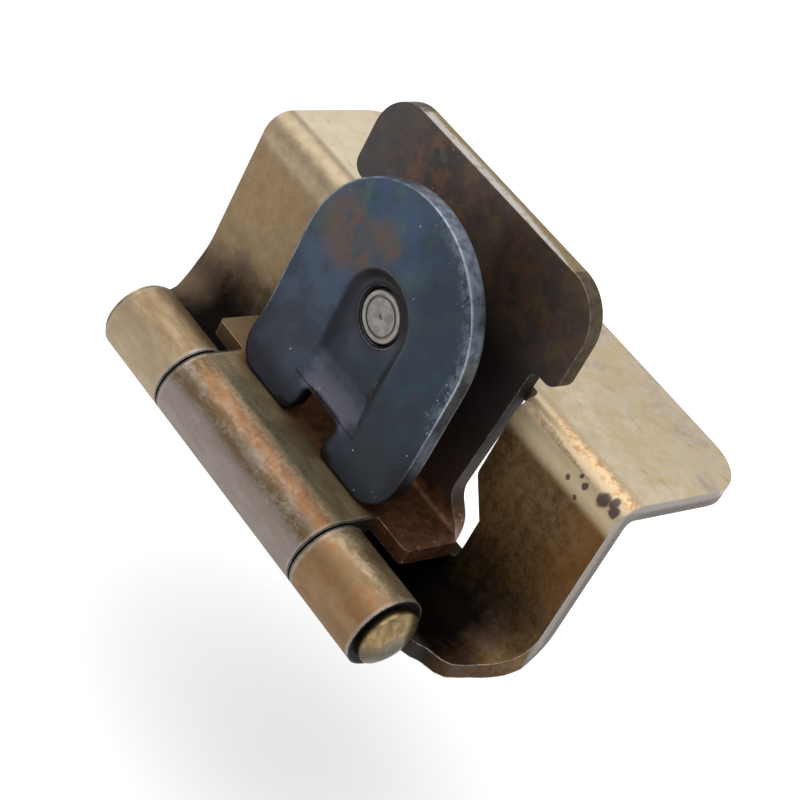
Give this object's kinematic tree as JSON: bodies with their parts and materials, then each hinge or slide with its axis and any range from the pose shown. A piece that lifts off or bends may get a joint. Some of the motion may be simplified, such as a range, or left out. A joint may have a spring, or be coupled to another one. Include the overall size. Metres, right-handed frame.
{
  "type": "cabinet hinge",
  "caption": "Overlay cabinet hinge: a frame leaf wraps the cabinet frame's edge and the door leaf pinches a saw kerf in the door with a screwed clamp plate.",
  "frame": {"origin": "on the hinge pin's axis, half way along the barrel", "axes": "+X from the barrel toward the web and flange, +Y along the pin toward its larger head, +Z from the base up to the flange and the top of the door leaf"},
  "size_m": [0.0305, 0.051, 0.0326],
  "materials": {
    "brass_leaf": "antique brass plate on steel sheet, mottled brown where it isn't rubbed",
    "dark_leaf": "darkened brass plate on steel sheet, near black with rust-brown mottling",
    "brass_pin": "brass plate on steel, rubbed bright on the head",
    "blued_steel": "heat-blued spring steel, glossy blue-black",
    "screw_steel": "bare steel, fine turned face"
  },
  "bodies": {
    "frame": {"frame_leaf": "brass_leaf", "hinge_pin": "brass_pin"},
    "door": {"door_leaf": "dark_leaf"},
    "clamp": {"clamp_plate": "blued_steel"},
    "screw": {"clamp_screw": "screw_steel"}
  },
  "joints": [
    {"name": "door_hinge", "type": "hinge", "parent": "frame", "child": "door", "pos_m": [0, 0, 0], "axis": [0, -1, 0], "range_deg": [0, 180]},
    {"name": "clamp_travel", "type": "slide", "parent": "door", "child": "clamp", "axis": [1, 0, 0], "range_m": [-0.0006, 0.002]},
    {"name": "screw_turn", "type": "hinge", "parent": "door", "child": "screw", "pos_m": [0.0087, 0, 0.01606], "axis": [-1, 0, 0], "range_deg": [-270, 900]}
  ],
  "couplings": [
    {"joint": "screw_turn", "follows": "clamp_travel", "rad_per_m": 7854}
  ]
}
